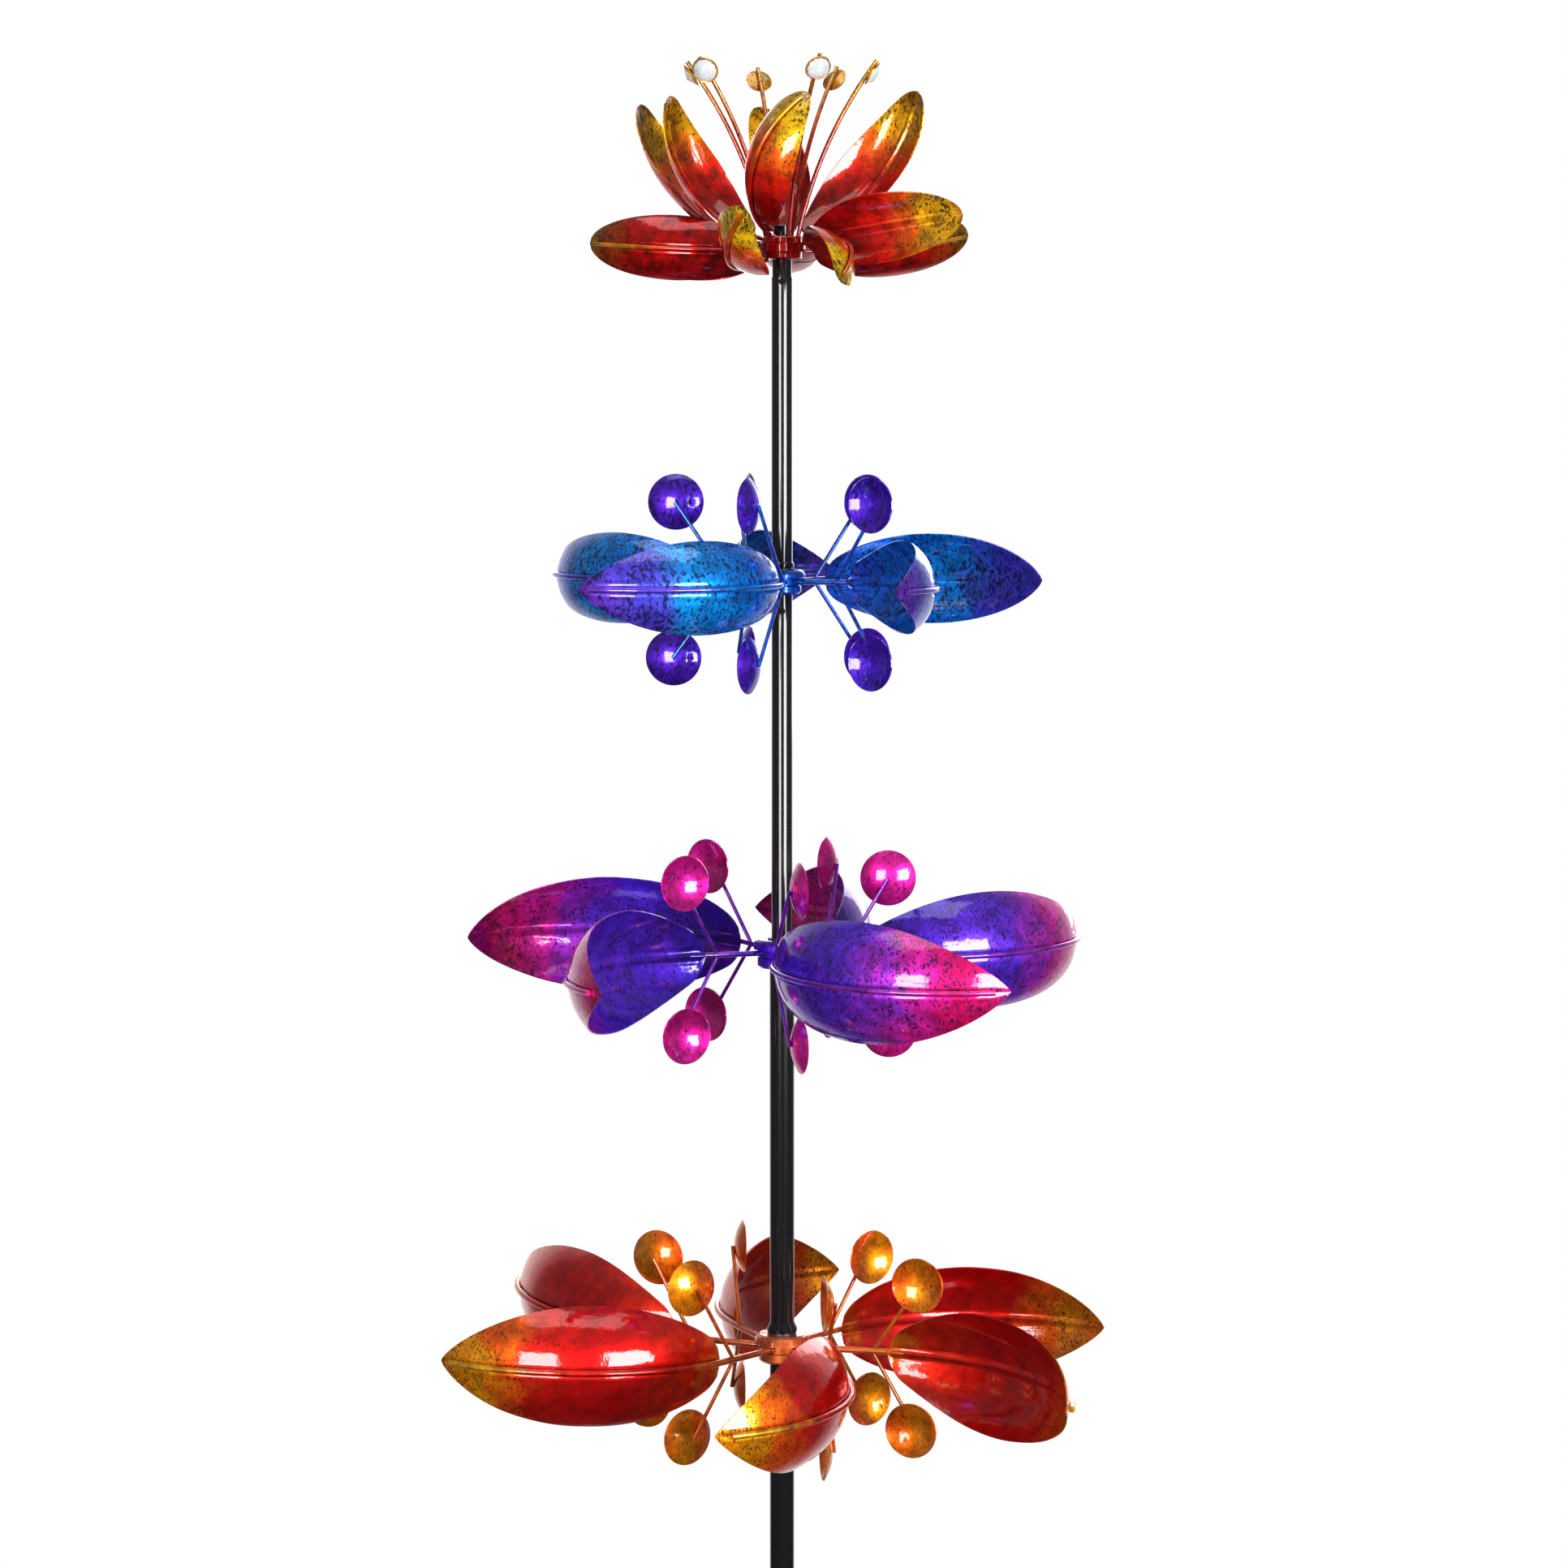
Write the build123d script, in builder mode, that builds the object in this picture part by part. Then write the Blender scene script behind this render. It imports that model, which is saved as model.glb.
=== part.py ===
"""Garden wind spinner: a sectional pole on a ground stake, three petal rotors and a flower head.

Origin: on the pole axis at ground level. +Z up the pole, +X right, -Y towards the viewer. Units: mm.
Angles of arms are measured from +X, counter-clockwise seen from above.
"""
import os
from math import atan2, cos, degrees, hypot, pi, radians, sin

from build123d import *

os.makedirs("parts", exist_ok=True)

# ---- pole and stake ---------------------------------------------------------------------------
POLE_R = 11.25            # thick tube, outside radius
POLE_BORE = 9.6           # thick tube, bore radius
NECK_R = 9.5              # swaged neck and thin tube, outside radius
THIN_BORE = 8.0           # thin tube, bore radius
THIN_NECK_R = 7.9         # swaged neck of the thin tube
NECK_BORE = 6.6
PLUG = 70                 # how far one section reaches into the next
SPIKE_R = 6
SPIKE_LEN = 200
SPIKE_POINT = 28
BOSS_R = 15
BOSS_H = 24
PRONG_R = 4
PRONG_REACH = 62
PRONG_DEPTH = 160
BASE_TOP = 470            # joint between base tube and lower tube
FLARE_R = 14              # flared tube end above the lowest rotor
BEAD_R = 10.8             # rolled bead above the upper rotor

# ---- rotors -----------------------------------------------------------------------------------
SHEET = 1.2               # petal and disc sheet
RUN = 0.08                # radial clearance of a bush on the pole
AXIAL = 0.5               # end play of a hub
EMBED = 0.35              # depth of a weld or press seat
STEM_R = 1.75
DISC_R = 25.5
DISC_DOME = 8.5
CUP = radians(62)         # half angle of a petal's cupped section
SECTIONS = 9

UPPER = dict(
    name="upper", z=1657, side=-1, angles=[268, 340, 52, 124, 196], rod=2.5, base=62, tip=240,
    lag=46, half=51, apex=52, disc_reach=99, disc_lag=10, disc_z=71,
    lift=[0, 0, 0, 0.5, 1], roll=[0, 0, 0, 0, 0], hub=(21, 22, 9.2), shaft=THIN_NECK_R)
MIDDLE = dict(
    name="middle", z=1316, side=1, angles=[265, 337, 49, 121, 193], rod=2.5, base=72, tip=302,
    lag=46, half=66, apex=61, disc_reach=100, disc_lag=9, disc_z=70,
    lift=[-1, 0.5, 1.5, 1.5, -0.5], roll=[0, 0, 0, 0, 0], hub=(26, 26, 11.5), shaft=NECK_R)
LOWER = dict(
    name="lower", z=948, side=-1, angles=[296, 356, 56, 116, 176, 236], rod=3, base=98, tip=327,
    lag=36, half=67, apex=85, disc_reach=127, disc_lag=4, disc_z=68,
    lift=[-1, -2.4, -1.6, 1, 5, 2.8], roll=[0, 0, 0, 0, 0, 0], hub=(25, 26, 10.5), shaft=NECK_R)

# ---- flower head ------------------------------------------------------------------------------
FLOWER_Z = 1959
FLOWER_ROD = 2.0
FLOWER_SHAFT = 6.0
# each petal: arm angle, arm rise, roll about the arm, blade start, tip reach, lag, half width
FLOWER_UP = [
    (159, 17, 65, 28, 166, 41, 39), (148, 5, 83, 28, 194, 37, 39), (237, 25, 55, 28, 155, 47, 39),
    (70, 26, 60, 28, 149, 42, 38), (40, 15, 117, 28, 189, 38, 41), (342, 8, 185, 28, 175, 4, 38)]
FLOWER_LOW = [
    (203, 0, 175, 28, 178, 33, 36), (224, -21, 47, 28, 128, 47, 38), (129, -8, 27, 28, 164, 20, 37),
    (354, 0, 13, 28, 180, 24, 37), (324, 13, 218, 28, 133, 40, 35), (85, -20, 92, 28, 161, 25, 37)]
STAMENS = [(354, 0), (54, 0), (105, 0), (174, 0), (211, 38), (293, 0)]   # angle, disc turn
STAMEN_FOOT = (14, 1966)
STAMEN_MID = (39, 2046)
STAMEN_TIP = (86, 2126)
STAMEN_REST = (78.876, 2116.344)   # rod centre behind the disc, 12 mm short of the tip
STAMEN_TILT = -35.53               # square to the rod there
STAMEN_DISC_R = 12
STAMEN_DISC_DOME = 1.8
CRYSTAL_R = 10.6
CRYSTAL_H = 5.5


def ring(profile):
    """Closed (radius, height) profile turned about the pole axis."""
    with BuildPart() as turned:
        with BuildSketch(Plane.XZ):
            with BuildLine():
                Polyline(*profile, close=True)
            make_face()
        revolve(axis=Axis.Z)
    return turned


def save(part, label):
    part.label = label
    export_step(part, f"parts/{label}.step")


def arm_frame(height, angle, rise=0, roll=0):
    return Location((0, 0, height)) * Rot(0, 0, angle) * Rot(0, -rise, 0) * Rot(roll, 0, 0)


def midrib(base, tip, lag):
    """Arc that leaves the arm tangentially at base and ends at polar (tip, lag)."""
    dx, dy = tip * cos(radians(lag)) - base, tip * sin(radians(lag))
    chord_angle = atan2(dy, dx)
    return hypot(dx, dy) / (2 * sin(chord_angle)), 2 * chord_angle


def leaf(u, half):
    """Half width of a petal at the fraction u of its midrib."""
    return half * sin(pi * (0.05 + 0.935 * u)) ** 0.8


def blade(base, tip, lag, half, side):
    """Cupped petal in its arm frame, hollow side towards the inside of the bend."""
    bend, turn = midrib(base, tip, lag)
    cup_r = half / CUP
    with BuildPart() as sheet:
        for i in range(SECTIONS):
            u = i / (SECTIONS - 1)
            a = turn * u
            spread = leaf(u, half) / cup_r
            section = Plane(
                origin=(base + bend * sin(a), side * bend * (1 - cos(a)), 0),
                x_dir=(-sin(a), side * cos(a), 0),
                z_dir=(cos(a), side * sin(a), 0))
            inner = cup_r - SHEET
            with BuildSketch(section):
                with BuildLine():
                    out_a = (cup_r - cup_r * cos(spread), -cup_r * sin(spread))
                    out_b = (out_a[0], -out_a[1])
                    in_a = (cup_r - inner * cos(spread), -inner * sin(spread))
                    in_b = (in_a[0], -in_a[1])
                    ThreePointArc(out_a, (0, 0), out_b)
                    Line(out_b, in_b)
                    ThreePointArc(in_b, (SHEET, 0), in_a)
                    Line(in_a, out_a)
                make_face()
        loft()
    return sheet


def rib_rod(start, base, tip, lag, side, rod):
    """Arm rod: straight from the hub, then bent along the back of the petal's midrib."""
    bend, turn = midrib(base, tip, lag)
    off = rod - EMBED
    with BuildPart() as bar:
        with BuildLine() as path:
            Line((start, -side * off, 0), (base, -side * off, 0))
            CenterArc((base, side * bend, 0), bend + off, -side * 90, side * degrees(turn) * 0.95)
        with BuildSketch(Plane(origin=(start, -side * off, 0), z_dir=(1, 0, 0))):
            Circle(rod)
        sweep()
    return bar


def stem(foot, head, radius):
    """Round stem from foot to head."""
    run = Vector(*head) - Vector(*foot)
    with BuildPart() as bar:
        with BuildSketch(Plane(origin=foot, z_dir=run)):
            Circle(radius)
        extrude(amount=run.length)
    return bar


def dome(radius, depth, thick, seat):
    """Shallow spun disc; the crown of its back lies on the seat plane's origin."""
    ball = (radius**2 + depth**2) / (2 * depth)
    half_angle = atan2(radius, ball - depth) / 2
    inner = ball - thick
    with BuildPart() as cap:
        with BuildSketch(Plane.XZ):
            with BuildLine():
                Line((0, 0), (0, thick))
                ThreePointArc(
                    (0, thick),
                    (inner * sin(half_angle), ball - inner * cos(half_angle)),
                    (inner * sin(2 * half_angle), ball - inner * cos(2 * half_angle)))
                Line(
                    (inner * sin(2 * half_angle), ball - inner * cos(2 * half_angle)),
                    (radius, depth))
                ThreePointArc(
                    (radius, depth),
                    (ball * sin(half_angle), ball - ball * cos(half_angle)),
                    (0, 0))
            make_face()
        revolve(axis=Axis.Z)
    return cap.part.moved(seat)


def hub_body(tier):
    """Turned hub with a rounded upper ring, a weld groove and a smaller lower ring."""
    radius, tall, _ = tier["hub"]
    bore = tier["shaft"] + RUN + 2.0
    low, mid, top = tier["z"] - tall / 2, tier["z"], tier["z"] + tall / 2
    groove = radius - 5
    return ring([
        (bore, low), (radius - 5.5, low), (radius - 3.5, low + 2), (radius - 3.5, mid - 4),
        (groove, mid - 3), (groove, mid + 3), (radius, mid + 4), (radius, top - 4),
        (radius - 1.2, top - 1.5), (radius - 4, top), (bore, top)])


def bush_body(height, tall, shaft, flange):
    """Bearing bush with a thin flange on top of the hub."""
    low, top = height - tall / 2, height + tall / 2
    inner = shaft + RUN
    return ring([
        (inner, low), (inner + 2.0, low), (inner + 2.0, top), (inner + flange, top),
        (inner + flange, top + 1.2), (inner, top + 1.2)])


def rotor(tier):
    """One petal rotor: hub, bush, arms, stems, discs and petals."""
    name, side, rod = tier["name"], tier["side"], tier["rod"]
    radius, tall, _ = tier["hub"]
    save(hub_body(tier).part, f"{name}_hub")
    save(bush_body(tier["z"], tall, tier["shaft"], 3.5).part, f"{name}_bush")
    arm = rib_rod(radius - 6.5, tier["base"], tier["tip"], tier["lag"], side, rod).part
    petal = blade(tier["base"], tier["tip"], tier["lag"], tier["half"], side).part
    lag = side * radians(tier["disc_lag"])
    stems, discs = [], []
    for up in (1, -1):
        head = (tier["disc_reach"] * cos(lag), tier["disc_reach"] * sin(lag), up * tier["disc_z"])
        foot = (tier["apex"], -side * (rod - EMBED), up * (rod - 0.6))
        stems.append(stem(foot, head, STEM_R).part)
        opening = radians(side * 110)
        seat = Plane(origin=head, x_dir=(0, 0, 1), z_dir=(cos(opening), sin(opening), 0))
        back = seat.z_dir * -(EMBED - STEM_R)
        discs.append(dome(DISC_R, DISC_DOME, SHEET, Location(
            Plane(origin=seat.origin + back, x_dir=(0, 0, 1), z_dir=seat.z_dir))))
    arms_all, stems_all, discs_all = [], [], []
    for i, angle in enumerate(tier["angles"]):
        frame = arm_frame(tier["z"], angle, tier["lift"][i], tier["roll"][i])
        save(petal.moved(frame), f"{name}_petal_{i + 1}")
        arms_all.append(arm.moved(frame))
        stems_all += [one.moved(frame) for one in stems]
        discs_all += [one.moved(frame) for one in discs]
    save(Compound(children=arms_all), f"{name}_arms")
    save(Compound(children=stems_all), f"{name}_stems")
    save(Compound(children=discs_all), f"{name}_discs")


def flower():
    """Flower head: hub, bush, two rings of petals on rods, stamens with crystals."""
    low, top = FLOWER_Z - 10, FLOWER_Z + 10
    bore = FLOWER_SHAFT + RUN + 2.0
    save(ring([
        (bore, low), (17, low), (18, low + 1), (18, FLOWER_Z - 5), (21, FLOWER_Z - 4),
        (21, FLOWER_Z + 4), (18, FLOWER_Z + 5), (18, top - 1), (17, top), (bore, top)]).part,
        "flower_hub")
    save(bush_body(FLOWER_Z, top - low, FLOWER_SHAFT, 3.0).part, "flower_bush")
    rods = []
    for ring_name, petals, height in (
            ("up", FLOWER_UP, FLOWER_Z + 4), ("low", FLOWER_LOW, FLOWER_Z - 3)):
        for i, (angle, rise, roll, base, tip, lag, half) in enumerate(petals):
            frame = arm_frame(height, angle, rise, roll)
            save(blade(base, tip, lag, half, 1).part.moved(frame), f"flower_{ring_name}_petal_{i + 1}")
            rods.append(rib_rod(19, base, tip, lag, 1, FLOWER_ROD).part.moved(frame))
    save(Compound(children=rods), "flower_arms")

    with BuildPart() as filament:
        with BuildLine():
            ThreePointArc(
                (STAMEN_FOOT[0], 0, STAMEN_FOOT[1]), (STAMEN_MID[0], 0, STAMEN_MID[1]),
                (STAMEN_TIP[0], 0, STAMEN_TIP[1]))
        with BuildSketch(Plane(origin=(STAMEN_FOOT[0], 0, STAMEN_FOOT[1]), z_dir=(0.1, 0, 1))):
            Circle(FLOWER_ROD)
        sweep()
    face = (cos(radians(STAMEN_TILT)), 0, sin(radians(STAMEN_TILT)))
    hold = FLOWER_ROD - 0.3
    seat = Plane(
        origin=(STAMEN_REST[0] + hold * face[0], 0, STAMEN_REST[1] + hold * face[2]),
        x_dir=(0, 1, 0), z_dir=face)
    backing = dome(STAMEN_DISC_R, STAMEN_DISC_DOME, SHEET, Location(seat))
    with BuildPart() as crystal:
        with BuildSketch(seat.offset(2.25)):
            RegularPolygon(CRYSTAL_R, 12)
        with BuildSketch(seat.offset(2.25 + CRYSTAL_H)):
            RegularPolygon(CRYSTAL_R * 0.45, 12)
        loft()
    rod_line = Axis((STAMEN_REST[0], 0, STAMEN_REST[1]), (-face[2], 0, face[0]))
    save(Compound(children=[filament.part.moved(Rot(0, 0, angle)) for angle, _ in STAMENS]), "stamen_rods")
    save(Compound(children=[
        backing.rotate(rod_line, turn).moved(Rot(0, 0, angle)) for angle, turn in STAMENS]), "stamen_discs")
    save(Compound(children=[
        crystal.part.rotate(rod_line, turn).moved(Rot(0, 0, angle)) for angle, turn in STAMENS]),
        "stamen_crystals")


def pole():
    """Stake, pole sections, top spindle, cap and screws."""
    save(ring([
        (0, -SPIKE_LEN - SPIKE_POINT), (SPIKE_R, -SPIKE_LEN), (SPIKE_R, 0), (BOSS_R, 0),
        (BOSS_R, BOSS_H), (NECK_R, BOSS_H), (NECK_R, BOSS_H + PLUG), (0, BOSS_H + PLUG)]).part,
        "ground_spike")
    with BuildPart() as prong:
        with BuildLine():
            FilletPolyline(
                (BOSS_R - EMBED, 0, BOSS_H / 2), (PRONG_REACH, 0, BOSS_H / 2),
                (PRONG_REACH, 0, -PRONG_DEPTH), radius=14)
        with BuildSketch(Plane(origin=(BOSS_R - EMBED, 0, BOSS_H / 2), z_dir=(1, 0, 0))):
            Circle(PRONG_R)
        sweep()
        with BuildSketch(Plane(origin=(PRONG_REACH, 0, -PRONG_DEPTH), z_dir=(0, 0, -1))):
            Circle(PRONG_R)
        with BuildSketch(Plane(origin=(PRONG_REACH, 0, -PRONG_DEPTH - 16), z_dir=(0, 0, -1))):
            Circle(0.6)
        loft()
    save(Compound(children=[prong.part.moved(Rot(0, 0, 45 + 90 * i)) for i in range(4)]), "stake_prongs")

    low_4 = LOWER["z"] - LOWER["hub"][1] / 2 - AXIAL
    top_4 = LOWER["z"] + LOWER["hub"][1] / 2 + 1.2 + AXIAL
    low_3 = MIDDLE["z"] - MIDDLE["hub"][1] / 2 - AXIAL
    low_2 = UPPER["z"] - UPPER["hub"][1] / 2 - AXIAL
    top_2 = UPPER["z"] + UPPER["hub"][1] / 2 + 1.2 + AXIAL
    low_1 = FLOWER_Z - 10 - AXIAL
    top_1 = FLOWER_Z + 10 + 1.2 + AXIAL

    def swaged(bottom, shoulder, end):
        return [
            (POLE_BORE, bottom), (POLE_R, bottom), (POLE_R, shoulder - 0.8), (POLE_R - 0.8, shoulder),
            (NECK_R, shoulder), (NECK_R, end), (THIN_BORE, end), (THIN_BORE, shoulder - 4),
            (POLE_BORE, shoulder - 6)]

    save(ring(swaged(BOSS_H, BASE_TOP, BASE_TOP + PLUG)).part, "pole_base")
    save(ring(swaged(BASE_TOP, low_4, top_4 + PLUG)).part, "pole_lower")
    save(ring([
        (POLE_BORE, top_4), (FLARE_R, top_4), (FLARE_R, top_4 + 3), (POLE_R, top_4 + 9),
        (POLE_R, low_3 - 0.8), (POLE_R - 0.8, low_3), (POLE_BORE, low_3)]).part, "pole_middle")
    save(ring([
        (THIN_BORE, low_3 - PLUG), (NECK_R, low_3 - PLUG), (NECK_R, low_2 - 0.6),
        (NECK_R - 0.6, low_2), (THIN_NECK_R, low_2), (THIN_NECK_R, top_2 + PLUG),
        (NECK_BORE, top_2 + PLUG), (NECK_BORE, low_2 - 4), (THIN_BORE, low_2 - 5)]).part,
        "pole_upper")
    seam = low_1 - 16
    save(ring([
        (THIN_BORE, top_2), (BEAD_R - 0.8, top_2), (BEAD_R, top_2 + 0.8), (BEAD_R, top_2 + 4),
        (NECK_R, top_2 + 5.5), (NECK_R, seam), (THIN_BORE, seam)]).part, "pole_top")
    save(ring([
        (0, seam - PLUG), (THIN_NECK_R, seam - PLUG), (THIN_NECK_R, seam), (NECK_R - 0.6, seam),
        (NECK_R - 0.6, low_1), (FLOWER_SHAFT, low_1), (FLOWER_SHAFT, top_1), (4, top_1),
        (4, top_1 + 7), (0, top_1 + 7)]).part, "top_spindle")
    save(ring([
        (4.05, top_1), (8, top_1), (8, top_1 + 8), (7, top_1 + 9), (0, top_1 + 9),
        (0, top_1 + 7.1), (4.05, top_1 + 7.1)]).part, "top_cap")

    screws = []
    for height in (low_2 - 15, seam - 4):
        with BuildPart() as screw:
            with BuildSketch(Plane(origin=(0, -NECK_R - 1.4, height), z_dir=(0, 1, 0))):
                Circle(3)
            extrude(amount=2.0)
        screws.append(screw.part)
    save(Compound(children=screws), "pole_screws")


pole()
for one_tier in (UPPER, MIDDLE, LOWER):
    rotor(one_tier)
flower()
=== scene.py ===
"""Garden wind spinner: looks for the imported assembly. Metres, Z up, the viewer on -Y."""

import bpy
from math import atan2, cos, hypot, pi, radians, sin
from mathutils import Matrix, Vector, noise


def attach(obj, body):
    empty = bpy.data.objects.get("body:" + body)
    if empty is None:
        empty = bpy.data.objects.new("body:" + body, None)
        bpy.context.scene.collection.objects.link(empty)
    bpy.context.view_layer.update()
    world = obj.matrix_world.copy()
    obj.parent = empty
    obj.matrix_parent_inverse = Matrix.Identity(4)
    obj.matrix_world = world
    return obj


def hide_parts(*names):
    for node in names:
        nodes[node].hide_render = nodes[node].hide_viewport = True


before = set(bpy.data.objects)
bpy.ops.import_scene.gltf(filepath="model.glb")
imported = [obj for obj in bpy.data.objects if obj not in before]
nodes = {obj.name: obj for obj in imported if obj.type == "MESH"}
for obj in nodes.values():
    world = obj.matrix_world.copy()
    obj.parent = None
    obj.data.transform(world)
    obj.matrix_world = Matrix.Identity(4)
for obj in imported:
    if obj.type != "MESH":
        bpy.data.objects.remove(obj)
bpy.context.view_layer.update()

MM = 0.001
SHEET = 1.2           # petal sheet, mm
UNEVEN, RIB_RISE, RIB_GROOVE = 0.7, 1.5, 0.75   # heights pressed into the sheet, mm
CUP = radians(62)

# ---- rotors and flower: the same sizes as the CAD, in mm and degrees ---------------------------
# lift and roll are the small hand bends of each petal; hub is its radius and its height
TIERS = {
    "upper": dict(z=1657, side=-1, angles=[268, 340, 52, 124, 196], base=62, tip=240, lag=46, half=51,
                  lift=[0, 0, 0, 0.5, 1], roll=[0] * 5, rod=2.5, hub=(21, 22)),
    "middle": dict(z=1316, side=1, angles=[265, 337, 49, 121, 193], base=72, tip=302, lag=46, half=66,
                   lift=[-1, 0.5, 1.5, 1.5, -0.5], roll=[0] * 5, rod=2.5, hub=(26, 26)),
    "lower": dict(z=948, side=-1, angles=[296, 356, 56, 116, 176, 236], base=98, tip=327, lag=36, half=67,
                  lift=[-1, -2.4, -1.6, 1, 5, 2.8], roll=[0] * 6, rod=3, hub=(25, 26)),
}
FLOWER_Z = 1959
# each petal: arm angle, arm rise, roll about the arm, blade start, tip reach, lag, half width
FLOWER_UP = [
    (159, 17, 65, 28, 166, 41, 39), (148, 5, 83, 28, 194, 37, 39), (237, 25, 55, 28, 155, 47, 39),
    (70, 26, 60, 28, 149, 42, 38), (40, 15, 117, 28, 189, 38, 41), (342, 8, 185, 28, 175, 4, 38)]
FLOWER_LOW = [
    (203, 0, 175, 28, 178, 33, 36), (224, -21, 47, 28, 128, 47, 38), (129, -8, 27, 28, 164, 20, 37),
    (354, 0, 13, 28, 180, 24, 37), (324, 13, 218, 28, 133, 40, 35), (85, -20, 92, 28, 161, 25, 37)]
STAMENS = [(354, 0), (54, 0), (105, 0), (174, 0), (211, 38), (293, 0)]   # angle, disc turn
STAMEN_REST, STAMEN_TILT, STAMEN_HOLD = Vector((78.876, 0, 2116.344)), -35.53, 1.7
YELLOW_LOW = (1, 4)     # petals of the low ring that have yellow tips
CRYSTAL_R, CRYSTAL_H, CRYSTAL_SEAT = 10.6, 5.5, 2.25


# ---- node helpers -----------------------------------------------------------------------------
class Graph:
    """Short hand for building a node tree."""

    def __init__(self, name, world=False):
        self.holder = bpy.data.worlds.new(name) if world else bpy.data.materials.new(name)
        self.holder.use_nodes = True
        self.tree = self.holder.node_tree
        self.tree.nodes.clear()

    def node(self, kind, settings=None, **inputs):
        made = self.tree.nodes.new(kind)
        for key, value in (settings or {}).items():
            setattr(made, key, value)
        for key, value in inputs.items():
            self.put(made.inputs[key.replace("_", " ")], value)
        return made

    def put(self, socket, value):
        if isinstance(value, bpy.types.NodeSocket):
            self.tree.links.new(value, socket)
        else:
            socket.default_value = value

    def math(self, op, a, b=0.0, clamp=False):
        made = self.tree.nodes.new("ShaderNodeMath")
        made.operation = op
        made.use_clamp = clamp
        self.put(made.inputs[0], a)
        self.put(made.inputs[1], b)
        return made.outputs[0]

    def mix(self, factor, a, b, blend="MIX"):
        made = self.tree.nodes.new("ShaderNodeMix")
        made.data_type = "RGBA"
        made.blend_type = blend
        self.put(made.inputs[0], factor)
        self.put(made.inputs[6], a)
        self.put(made.inputs[7], b)
        return made.outputs[2]

    def ramp(self, factor, stops, smooth=True):
        made = self.tree.nodes.new("ShaderNodeValToRGB")
        made.color_ramp.interpolation = "EASE" if smooth else "LINEAR"
        self.put(made.inputs[0], factor)
        steps = made.color_ramp.elements
        while len(steps) < len(stops):
            steps.new(0.5)
        for step, (place, colour) in zip(steps, stops):
            step.position = place
            step.color = colour if len(colour) == 4 else (*colour, 1)
        return made.outputs[0]

    def noise(self, vector, scale, detail=4.0, rough=0.6, distort=0.0):
        made = self.tree.nodes.new("ShaderNodeTexNoise")
        self.put(made.inputs["Vector"], vector)
        made.inputs["Scale"].default_value = scale
        made.inputs["Detail"].default_value = detail
        made.inputs["Roughness"].default_value = rough
        made.inputs["Distortion"].default_value = distort
        return made.outputs[0]


DRIFT = 0.42          # how far the colour bands wander along the sheet
HOLLOW_SHADE_LEAN = 0.3     # how much of the painted shade colour the hollow face takes
SPOT_EDGE = 0.045     # softness of a fleck's edge
SPOT_COVER = 0.93     # how much of the paint a fleck hides


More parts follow.
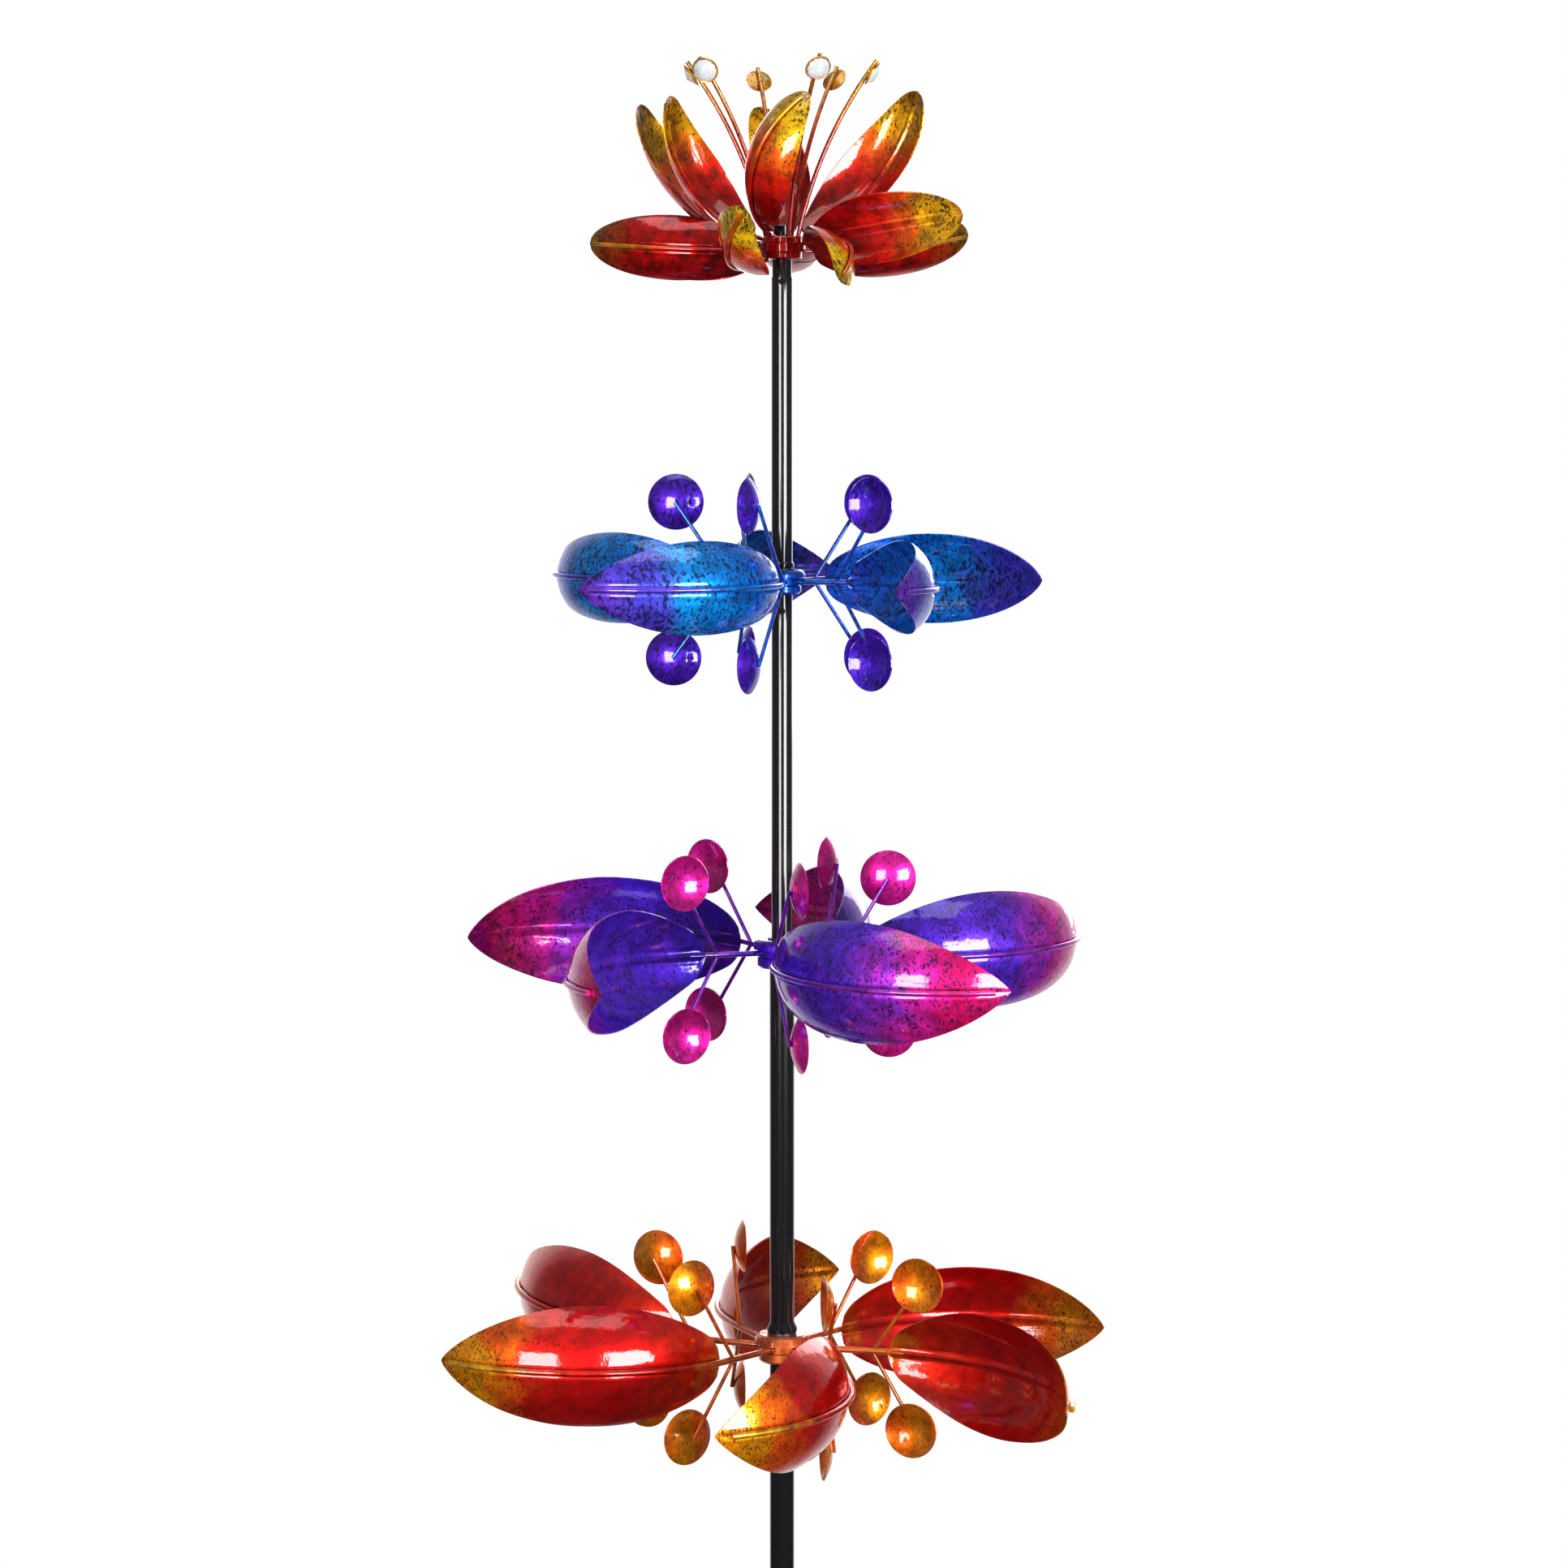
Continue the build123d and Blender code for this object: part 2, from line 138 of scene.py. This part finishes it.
def candy(name, along, stops, speckle, spot_colour, tint, hollow_shade=None,
          tips=0.0, mottle=0.38, rough=0.4, metal=0.8, grain=330):
    """Candy metallic paint: colour by place, dark broken speckle and a clear gloss coat.

    along is an attribute name, "radius:inner:outer" in metres for distance from the pole axis, or
    "reach:inner:outer:height" for distance from the point at that height on the axis.
    speckle is the fleck noise level below which the dark spot colour shows, and grain its scale.
    tips adds speckle towards the far end; inside is a darker colour, painted shade, that the hollow face
    leans to.
    mottle is how bright the darkest clouds in the paint are.
    """
    g = Graph(name)
    place = g.node("ShaderNodeTexCoord").outputs["Object"]
    if ":" in along:
        kind, *numbers = along.split(":")
        low, high, *height = (float(number) for number in numbers)
        flat = g.node("ShaderNodeVectorMath", {"operation": "MULTIPLY" if kind == "radius" else "SUBTRACT"})
        g.put(flat.inputs[0], place)
        flat.inputs[1].default_value = (1, 1, 0) if kind == "radius" else (0, 0, height[0])
        far = g.node("ShaderNodeVectorMath", {"operation": "LENGTH"})
        g.put(far.inputs[0], flat.outputs[0])
        t = g.math("DIVIDE", g.math("SUBTRACT", far.outputs["Value"], low), high - low, clamp=True)
    else:
        t = g.node("ShaderNodeAttribute", {"attribute_name": along}).outputs["Fac"]
    drift = g.math("MULTIPLY", g.math("SUBTRACT", g.noise(place, 26, 4), 0.5), DRIFT)
    colour = g.ramp(g.math("ADD", t, drift, clamp=True), stops)
    # painted shade: the hollow face of the cup leans towards a darker colour
    if hollow_shade:
        face = g.node("ShaderNodeAttribute", {"attribute_name": "hollow"}).outputs["Fac"]
        colour = g.mix(g.math("MULTIPLY", face, HOLLOW_SHADE_LEAN), colour, hollow_shade)
    cloud = g.noise(place, 70, 5, 0.7)
    thick = g.math("MULTIPLY", g.math("SUBTRACT", cloud, 0.38), 3.2, clamp=True)
    colour = g.mix(thick, g.mix(1.0, colour, (mottle, mottle, mottle * 1.1, 1), "MULTIPLY"), colour)
    lean = g.node("ShaderNodeMapping", Vector=place)
    lean.inputs["Rotation"].default_value = (0.3, 0.75, 0.2)
    lean.inputs["Scale"].default_value = (1.0, 1.0, 0.6)
    fleck = g.noise(lean.outputs[0], grain, 5, 0.66, 0.4)
    patch = g.noise(place, 42, 3, 0.6)
    level = g.math("ADD", fleck, g.math("MULTIPLY", g.math("SUBTRACT", patch, 0.5), 0.22))
    level = g.math("ADD", level, g.math("MULTIPLY", g.math("SUBTRACT", t, 0.5), tips))
    spots = g.ramp(level, [(speckle, (0, 0, 0)), (speckle + SPOT_EDGE, (1, 1, 1))], smooth=False)
    colour = g.mix(g.math("MULTIPLY", spots, SPOT_COVER), colour, spot_colour)
    wobble = g.node("ShaderNodeBump", Strength=0.35, Distance=0.0012)
    g.put(wobble.inputs["Height"], g.noise(place, 38, 2, 0.5))
    peel = g.node("ShaderNodeBump", Strength=0.3, Distance=0.0006)
    g.put(peel.inputs["Height"], g.noise(place, 170, 3, 0.5))
    g.put(peel.inputs["Normal"], wobble.outputs[0])
    shader = g.node("ShaderNodeBsdfPrincipled", Metallic=metal)
    g.put(shader.inputs["Base Color"], colour)
    g.put(shader.inputs["Roughness"], g.math("ADD", g.math("MULTIPLY", spots, 0.16), rough))
    shader.inputs["Specular Tint"].default_value = (*tint, 1)
    shader.inputs["Coat Weight"].default_value = 1.0
    shader.inputs["Coat Roughness"].default_value = 0.07
    shader.inputs["Coat IOR"].default_value = 1.5
    g.put(shader.inputs["Normal"], wobble.outputs[0])
    g.put(shader.inputs["Coat Normal"], peel.outputs[0])
    out = g.node("ShaderNodeOutputMaterial")
    g.tree.links.new(shader.outputs[0], out.inputs[0])
    return g.holder


def plain(name, colour, rough=0.3, metal=0.0, coat=0.0, coat_rough=0.1):
    g = Graph(name)
    shader = g.node("ShaderNodeBsdfPrincipled", Metallic=metal, Roughness=rough)
    shader.inputs["Base Color"].default_value = (*colour, 1)
    shader.inputs["Coat Weight"].default_value = coat
    shader.inputs["Coat Roughness"].default_value = coat_rough
    out = g.node("ShaderNodeOutputMaterial")
    g.tree.links.new(shader.outputs[0], out.inputs[0])
    return g.holder


# ---- materials --------------------------------------------------------------------------------
black = plain("black_powder_coat", (0.004, 0.004, 0.005), rough=0.12)
nylon = plain("black_nylon", (0.012, 0.012, 0.012), rough=0.4)

BLUE_TINT, PINK_TINT, RED_TINT = (0.35, 0.6, 1.0), (0.8, 0.3, 0.9), (1.0, 0.35, 0.2)
NAVY, PLUM = (0.003, 0.004, 0.045, 1), (0.012, 0.002, 0.03, 1)
SOOT, RUST = (0.012, 0.006, 0.001, 1), (0.045, 0.006, 0.001, 1)
# a petal paint's last colour, where one is given, is painted shade for its hollow face
upper_petal = candy("upper_petal_paint", "along", [
    (0.0, (0.02, 0.05, 0.60)), (0.22, (0.0, 0.22, 0.95)), (0.58, (0.0, 0.36, 1.0)),
    (0.74, (0.10, 0.07, 0.85)), (1.0, (0.22, 0.03, 0.60))],
    0.515, NAVY, BLUE_TINT, (0.0, 0.12, 0.75, 1), metal=0.72)
upper_disc = candy("upper_disc_paint", "radius:0.06:0.16", [
    (0.0, (0.09, 0.015, 0.70)), (1.0, (0.15, 0.02, 0.80))],
    0.53, NAVY, (0.5, 0.3, 1.0))
upper_metal = candy("upper_metal_paint", "radius:0.02:0.24", [
    (0.0, (0.01, 0.16, 0.80)), (0.2, (0.02, 0.10, 0.80)), (0.55, (0.0, 0.30, 0.95)),
    (0.8, (0.12, 0.06, 0.75)), (1.0, (0.22, 0.04, 0.60))],
    0.58, NAVY, BLUE_TINT)

middle_petal = candy("middle_petal_paint", "along", [
    (0.0, (0.04, 0.01, 0.45)), (0.46, (0.13, 0.03, 0.80)), (0.60, (0.40, 0.03, 0.70)),
    (0.72, (0.90, 0.015, 0.42)), (0.88, (0.80, 0.004, 0.13)), (1.0, (0.50, 0.005, 0.16))],
    0.54, PLUM, PINK_TINT, metal=0.72, grain=420)
middle_disc = candy("middle_disc_paint", "radius:0.05:0.15", [
    (0.0, (0.80, 0.008, 0.28)), (1.0, (1.0, 0.02, 0.45))],
    0.555, (0.08, 0.002, 0.05, 1), (1.0, 0.3, 0.7), grain=420)
middle_metal = candy("middle_metal_paint", "radius:0.02:0.30", [
    (0.0, (0.07, 0.01, 0.60)), (0.25, (0.28, 0.02, 0.55)), (0.42, (0.10, 0.02, 0.60)),
    (0.7, (0.30, 0.03, 0.60)), (1.0, (0.80, 0.02, 0.25))],
    0.60, PLUM, PINK_TINT)

lower_petal = candy("lower_petal_paint", "along", [
    (0.0, (0.90, 0.22, 0.01)), (0.10, (0.75, 0.02, 0.004)), (0.40, (0.62, 0.002, 0.004)),
    (0.66, (0.72, 0.006, 0.004)), (0.78, (0.95, 0.13, 0.003)), (0.88, (1.0, 0.36, 0.003)),
    (1.0, (1.0, 0.30, 0.004))],
    0.60, RUST, RED_TINT, (0.30, 0.0, 0.004, 1), tips=0.17, mottle=0.5, grain=520)
lower_disc = candy("lower_disc_paint", "radius:0.09:0.16", [
    (0.0, (0.80, 0.04, 0.003)), (0.35, (1.0, 0.17, 0.003)), (0.6, (1.0, 0.32, 0.004)),
    (1.0, (1.0, 0.17, 0.004))],
    0.575, RUST, (1.0, 0.6, 0.2), grain=560)
lower_metal = candy("lower_metal_paint", "radius:0.02:0.32", [
    (0.0, (0.75, 0.16, 0.04)), (0.14, (0.80, 0.12, 0.03)), (0.3, (0.85, 0.20, 0.02)),
    (0.45, (0.60, 0.01, 0.004)), (0.8, (0.65, 0.01, 0.004)), (1.0, (0.95, 0.50, 0.02))],
    0.63, SOOT, RED_TINT)

flower_petal = candy("flower_petal_paint", "along", [
    (0.0, (0.10, 0.001, 0.002)), (0.22, (0.42, 0.002, 0.003)), (0.50, (0.85, 0.012, 0.003)),
    (0.66, (0.98, 0.14, 0.003)), (0.80, (1.0, 0.58, 0.004)), (0.94, (0.95, 0.56, 0.005)),
    (1.0, (0.45, 0.26, 0.01))],
    0.585, (0.012, 0.014, 0.002, 1), RED_TINT, (0.45, 0.002, 0.003, 1),
    tips=0.16, mottle=0.3, metal=0.58, grain=420)
flower_low = candy("flower_low_petal_paint", "along", [
    (0.0, (0.16, 0.001, 0.003)), (0.25, (0.55, 0.002, 0.003)), (0.68, (0.75, 0.003, 0.003)),
    (0.84, (0.60, 0.06, 0.004)), (0.95, (0.55, 0.24, 0.006)), (1.0, (0.35, 0.22, 0.01))],
    0.60, (0.015, 0.008, 0.002, 1), RED_TINT, (0.40, 0.001, 0.003, 1), tips=0.16, mottle=0.2, grain=420)
flower_metal = candy("flower_metal_paint", "reach:0.02:0.17:1.959", [
    (0.0, (0.60, 0.003, 0.006)), (0.5, (0.70, 0.01, 0.004)), (0.68, (0.85, 0.12, 0.003)),
    (0.85, (0.95, 0.42, 0.004)), (1.0, (0.8, 0.38, 0.005))],
    0.62, SOOT, RED_TINT, grain=420)
stamen_metal = candy("stamen_metal_paint", "reach:0.03:0.18:1.959", [
    (0.0, (0.50, 0.004, 0.008)), (0.5, (0.60, 0.03, 0.008)), (0.78, (0.80, 0.20, 0.02)),
    (1.0, (0.85, 0.42, 0.03))],
    0.56, SOOT, (1.0, 0.6, 0.3), grain=420)

PAINT = {
    "upper": (upper_petal, upper_disc, upper_metal),
    "middle": (middle_petal, middle_disc, middle_metal),
    "lower": (lower_petal, lower_disc, lower_metal),
}


def crystal_glass():
    g = Graph("crystal_glass")
    place = g.node("ShaderNodeTexCoord").outputs["Object"]
    cell = g.node("ShaderNodeTexVoronoi", Vector=place, Scale=420.0)
    hue = g.node("ShaderNodeSeparateColor", Color=cell.outputs["Color"])
    tint = g.ramp(hue.outputs[0], [
        (0.0, (0.62, 0.90, 0.95)), (0.25, (0.95, 0.80, 0.93)), (0.5, (0.97, 0.97, 1.0)),
        (0.75, (0.70, 0.95, 0.75)), (1.0, (0.85, 0.78, 1.0))])
    shader = g.node("ShaderNodeBsdfPrincipled", Metallic=0.55, Roughness=0.05)
    g.put(shader.inputs["Base Color"], tint)
    shader.inputs["Coat Weight"].default_value = 1.0
    shader.inputs["Coat Roughness"].default_value = 0.02
    out = g.node("ShaderNodeOutputMaterial")
    g.tree.links.new(shader.outputs[0], out.inputs[0])
    return g.holder


crystal = crystal_glass()


# ---- meshes -----------------------------------------------------------------------------------
def paint(obj, material):
    obj.data.materials.clear()
    obj.data.materials.append(material)


def add_mesh(name, verts, faces, material, body, sharp=35, attributes=None):
    mesh = bpy.data.meshes.new(name)
    mesh.from_pydata(verts, [], faces)
    for key, values in (attributes or {}).items():
        layer = mesh.attributes.new(key, "FLOAT", "POINT")
        layer.data.foreach_set("value", values)
    mesh.validate()
    mesh.update()
    mesh.shade_smooth()
    if sharp:
        mesh.set_sharp_from_angle(angle=radians(sharp))
    obj = bpy.data.objects.new(name, mesh)
    bpy.context.scene.collection.objects.link(obj)
    paint(obj, material)
    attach(obj, body)
    return obj


def arm_matrix(height, angle, rise=0.0, roll=0.0):
    return (Matrix.Translation((0, 0, height)) @ Matrix.Rotation(radians(angle), 4, "Z")
            @ Matrix.Rotation(-radians(rise), 4, "Y") @ Matrix.Rotation(radians(roll), 4, "X"))


def midrib(base, tip, lag):
    dx, dy = tip * cos(radians(lag)) - base, tip * sin(radians(lag))
    chord = atan2(dy, dx)
    return hypot(dx, dy) / (2 * sin(chord)), 2 * chord


def petal_mesh(name, matrix, base, tip, lag, half, side, material, body,
               rib=4.0, seed=0.0, blunt=0.8):
    """Cupped petal with a pressed midrib, rounded foot and slightly uneven sheet.

    rib is the midrib's width; a smaller blunt makes a rounder tip.
    """
    bend, turn = midrib(base, tip, lag)
    cup_r = half / CUP
    rows, cols = ((96, 36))
    verts, along, hollow = [], [], []
    for layer in (0, 1):
        for i in range(rows + 1):
            u = (i / rows) ** 0.92
            a = turn * u
            power = 0.8 + (blunt - 0.8) * max(u - 0.4, 0) / 0.6
            edge = half * max(sin(pi * (0.05 + 0.95 * u)), 0.0) ** power
            if u < 0.05:
                edge *= max(1 - (1 - u / 0.05) ** 2, 0.0) ** 0.5
            edge = max(edge, 0.35)
            for j in range(cols + 1):
                v = -1 + 2 * j / cols
                s = edge * v
                wave = noise.noise(Vector((s * 0.022, u * tip * 0.022, seed * 3.7)))
                lift = UNEVEN * wave * (1 - v * v * 0.4)
                fade = min(1, 6 * (1 - u))
                lift += RIB_RISE * pow(2.718, -(s / (0.45 * rib)) ** 2) * fade
                lift -= RIB_GROOVE * pow(2.718, -((abs(s) - 1.3 * rib) / (0.5 * rib)) ** 2) * fade
                radius = cup_r - layer * SHEET - lift
                spread = s / cup_r
                depth = cup_r - radius * cos(spread)
                x = base + bend * sin(a) - sin(a) * depth
                y = side * (bend * (1 - cos(a)) + cos(a) * depth)
                verts.append((matrix @ Vector((x, y, radius * sin(spread)))) * MM)
                along.append(u)
                hollow.append(float(layer))
    wide, one = cols + 1, (rows + 1) * (cols + 1)
    faces = []
    for i in range(rows):
        for j in range(cols):
            p = i * wide + j
            faces.append((p, p + 1, p + wide + 1, p + wide))
            q = p + one
            faces.append((q, q + wide, q + wide + 1, q + 1))
    rim = ([(i * wide, (i + 1) * wide) for i in range(rows)]
           + [(rows * wide + j, rows * wide + j + 1) for j in range(cols)]
           + [((i + 1) * wide + cols, i * wide + cols) for i in reversed(range(rows))]
           + [(j + 1, j) for j in reversed(range(cols))])
    faces += [(a, b, b + one, a + one) for a, b in rim]
    return add_mesh(name, verts, faces, material, body, 50, {"along": along, "hollow": hollow})


def weld_bead(name, centre, radius, material, body):
    """Small lumpy weld where a rod meets a hub."""
    verts, faces, rings, steps = [], [], 8, 12
    for i in range(rings + 1):
        for j in range(steps):
            lat, lon = pi * i / rings, 2 * pi * j / steps
            spot = Vector((sin(lat) * cos(lon), sin(lat) * sin(lon), 0.8 * cos(lat)))
            lump = 1 + 0.25 * noise.noise(spot * 1.7 + Vector(centre) * 0.13)
            verts.append((Vector(centre) + spot * radius * lump) * MM)
    for i in range(rings):
        for j in range(steps):
            k = (j + 1) % steps
            faces.append((i * steps + j, i * steps + k, (i + 1) * steps + k, (i + 1) * steps + j))
    return add_mesh(name, verts, faces, material, body, 0)


def crystal_mesh(name, places, radius, height, body):
    """Faceted round stones, one at each place: girdle, three rings of facets and a small table."""
    rings = [(0.0, 0.97, 0), (0.16, 1.0, 0), (0.45, 0.86, 1), (0.78, 0.58, 0), (1.0, 0.30, 1)]
    steps = 12
    verts, faces = [], []
    for place in places:
        first = len(verts)
        for up, wide, half_step in rings:
            for j in range(steps):
                a = 2 * pi * (j + 0.5 * half_step) / steps
                spot = Vector((wide * radius * cos(a), wide * radius * sin(a), up * height))
                verts.append((place @ spot) * MM)
        for i in range(len(rings) - 1):
            shift = rings[i + 1][2] - rings[i][2]
            for j in range(steps):
                k = (j + 1) % steps
                low, high = first + i * steps, first + (i + 1) * steps
                a, b, c, d = low + j, low + k, high + k, high + j
                if shift == 1:
                    faces += [(a, b, d), (b, c, d)]
                elif shift == -1:
                    faces += [(a, b, c), (a, c, d)]
                else:
                    faces.append((a, b, c, d))
        top = first + (len(rings) - 1) * steps
        faces.append(tuple(range(top, top + steps)))
        faces.append(tuple(reversed(range(first, first + steps))))
    return add_mesh(name, verts, faces, crystal, body, 1)


# ---- CAD nodes keep their shape and take paint -------------------------------------------------
for key, obj in nodes.items():
    if key.startswith(("pole", "ground", "stake", "top_")):
        paint(obj, black)
    elif key.endswith("bush"):
        paint(obj, nylon)
    elif key.startswith("stamen"):
        paint(obj, crystal if "crystal" in key else stamen_metal)
    elif key.startswith("flower"):
        paint(obj, flower_metal)
    else:
        tier = key.split("_")[0]
        paint(obj, PAINT[tier][1] if "disc" in key else PAINT[tier][2])

for tier, t in TIERS.items():
    body = f"{tier}_rotor"
    for i, angle in enumerate(t["angles"]):
        matrix = arm_matrix(t["z"], angle, t["lift"][i], t["roll"][i])
        made = petal_mesh(f"{tier}_petal_skin_{i + 1}", matrix, t["base"], t["tip"], t["lag"], t["half"],
                          t["side"], PAINT[tier][0], body, seed=i + t["z"] * 0.01)
        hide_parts(f"{tier}_petal_{i + 1}")
        foot = matrix @ Vector((t["hub"][0] - 4.5, -t["side"] * (t["rod"] - 0.35), 0))
        weld_bead(f"{tier}_weld_{i + 1}", foot, t["rod"] * 1.35, PAINT[tier][2], body)

for ring, petals, height in (("up", FLOWER_UP, FLOWER_Z + 4), ("low", FLOWER_LOW, FLOWER_Z - 3)):
    for i, (angle, rise, roll, base, tip, lag, half) in enumerate(petals):
        matrix = arm_matrix(height, angle, rise, roll)
        made = petal_mesh(f"flower_{ring}_skin_{i + 1}", matrix, base, tip, lag, half, 1,
                          flower_petal if ring == "up" or i in YELLOW_LOW else flower_low, "flower",
                          rib=3.0, seed=i + len(ring), blunt=0.55)
        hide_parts(f"flower_{ring}_petal_{i + 1}")

tilt = radians(STAMEN_TILT)
outward, rod_line = Vector((cos(tilt), 0, sin(tilt))), Vector((-sin(tilt), 0, cos(tilt)))
stones = crystal_mesh("stamen_stones", [
    Matrix.Rotation(radians(angle), 4, "Z") @ Matrix.Translation(STAMEN_REST)
    @ Matrix.Rotation(radians(turn), 4, rod_line) @ Matrix.Translation(outward * (STAMEN_HOLD + CRYSTAL_SEAT))
    @ Matrix.Rotation(pi / 2 - tilt, 4, "Y") for angle, turn in STAMENS], CRYSTAL_R, CRYSTAL_H, "flower")
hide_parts("stamen_crystals")

# ---- studio -----------------------------------------------------------------------------------
FLOOR_R, FLOOR_Z, FLOOR_SIDES = 3.2, -0.229, 96
floor_mesh = bpy.data.meshes.new("floor")
floor_mesh.from_pydata(
    [(FLOOR_R * cos(2 * pi * k / FLOOR_SIDES), FLOOR_R * sin(2 * pi * k / FLOOR_SIDES), FLOOR_Z)
     for k in range(FLOOR_SIDES)],
    [], [tuple(range(FLOOR_SIDES))])
floor = bpy.data.objects.new("floor", floor_mesh)
bpy.context.scene.collection.objects.link(floor)
paint(floor, plain("pale_floor", (0.86, 0.86, 0.86), rough=0.7))
floor.visible_glossy = False

g = Graph("studio", world=True)
way = g.node("ShaderNodeSeparateXYZ", Vector=g.node("ShaderNodeTexCoord").outputs["Generated"])
rise = g.math("ADD", g.math("MULTIPLY", way.outputs["Z"], 0.5), 0.5)
room = g.ramp(rise, [
    (0.0, (0.03, 0.03, 0.03)), (0.34, (0.05, 0.05, 0.05)), (0.50, (0.20, 0.20, 0.21)),
    (0.70, (0.15, 0.15, 0.16)), (1.0, (0.25, 0.25, 0.25))])
behind = g.ramp(way.outputs["Y"], [(0.45, (0, 0, 0)), (0.90, (1, 1, 1))])
room = g.mix(behind, room, (0.95, 0.95, 0.95, 1))
seen = g.node("ShaderNodeLightPath").outputs["Is Camera Ray"]
shine = g.node("ShaderNodeBackground", Strength=1.0)
g.put(shine.inputs["Color"], g.mix(seen, room, (1, 1, 1, 1)))
out = g.node("ShaderNodeOutputWorld")
g.tree.links.new(shine.outputs[0], out.inputs[0])
bpy.context.scene.world = g.holder


def softbox(name, place, aim, wide, tall, power):
    light = bpy.data.lights.new(name, "AREA")
    light.shape = "RECTANGLE"
    light.size, light.size_y, light.energy = wide, tall, power
    obj = bpy.data.objects.new(name, light)
    obj.location = place
    obj.rotation_euler = (Vector(aim) - Vector(place)).to_track_quat("-Z", "Y").to_euler()
    obj.visible_camera = False
    bpy.context.scene.collection.objects.link(obj)


softbox("key_right", (1.9, -2.6, 1.6), (0, 0, 1.45), 1.7, 1.4, 165)
softbox("key_left", (-1.15, -3.0, 1.6), (0, 0, 1.45), 1.3, 1.4, 105)
softbox("top", (0, -0.4, 4.2), (0, 0, 1.4), 2.6, 2.0, 35)
softbox("back_fill", (0.7, 3.4, 2.2), (0, 0, 1.45), 3.0, 2.0, 50)

camera = bpy.data.cameras.new("camera")
camera.sensor_width = 36
camera.lens = 95.963
camera_object = bpy.data.objects.new("camera", camera)
camera_object.location = (0.00185, -3.811, 1.824)
camera_object.rotation_euler = (radians(90 - 5.281), 0, 0)
bpy.context.scene.collection.objects.link(camera_object)
bpy.context.scene.camera = camera_object
bpy.context.scene.view_settings.view_transform = "Standard"
bpy.context.scene.view_settings.look = "None"
